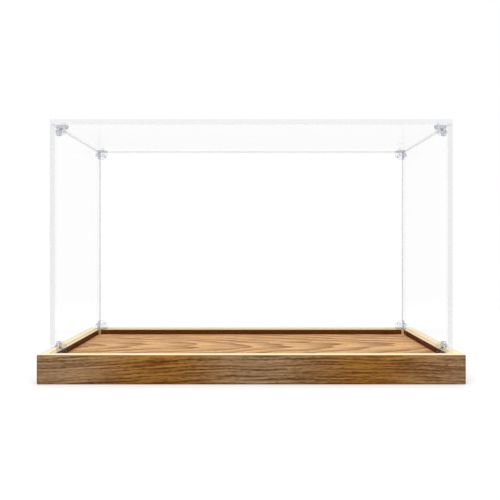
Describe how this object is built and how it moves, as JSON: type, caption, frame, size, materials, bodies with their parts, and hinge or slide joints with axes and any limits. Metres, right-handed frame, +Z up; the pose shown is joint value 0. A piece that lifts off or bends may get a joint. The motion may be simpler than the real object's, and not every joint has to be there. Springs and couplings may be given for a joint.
{
  "type": "display case",
  "caption": "Clear box-shaped display case: an acrylic cover held by corner clips lifts off a low wooden base with a pale rim and a recessed floor.",
  "frame": {"origin": "middle of the base's outline, on the surface that the base stands on", "axes": "+X along the long front towards the right as seen from the front, +Y towards the back, +Z up"},
  "size_m": [0.439, 0.184, 0.274],
  "materials": {
    "rail_wood": "walnut-brown grain, satin",
    "edging_wood": "pale cream edging, satin",
    "floor_wood": "light brown grain, lacquered",
    "key_wood": "plain beech, unfinished",
    "clear_acrylic": "clear, polished faces and edges",
    "clip_plastic": "clear moulded plastic",
    "rivet_plastic": "clear moulded plastic"
  },
  "bodies": {
    "base": {"base_front_rail": "rail_wood", "base_right_rail": "rail_wood", "base_back_rail": "rail_wood", "base_left_rail": "rail_wood", "rim_edging_front": "edging_wood", "rim_edging_right": "edging_wood", "rim_edging_back": "edging_wood", "rim_edging_left": "edging_wood", "display_floor": "floor_wood", "mitre_keys": "key_wood"},
    "cover": {"front_panel": "clear_acrylic", "right_panel": "clear_acrylic", "back_panel": "clear_acrylic", "left_panel": "clear_acrylic", "top_panel": "clear_acrylic", "corner_clip_bottom_front_left": "clip_plastic", "corner_clip_bottom_front_right": "clip_plastic", "corner_clip_bottom_back_right": "clip_plastic", "corner_clip_bottom_back_left": "clip_plastic", "corner_clip_top_front_left": "clip_plastic", "corner_clip_top_front_right": "clip_plastic", "corner_clip_top_back_right": "clip_plastic", "corner_clip_top_back_left": "clip_plastic", "front_panel_rivets": "rivet_plastic", "right_panel_rivets": "rivet_plastic", "back_panel_rivets": "rivet_plastic", "left_panel_rivets": "rivet_plastic", "top_panel_rivets": "rivet_plastic"}
  },
  "joints": [
    {"name": "cover_lift", "type": "slide", "parent": "base", "child": "cover", "axis": [0, 0, 1], "range_m": [0, 0.28]}
  ]
}
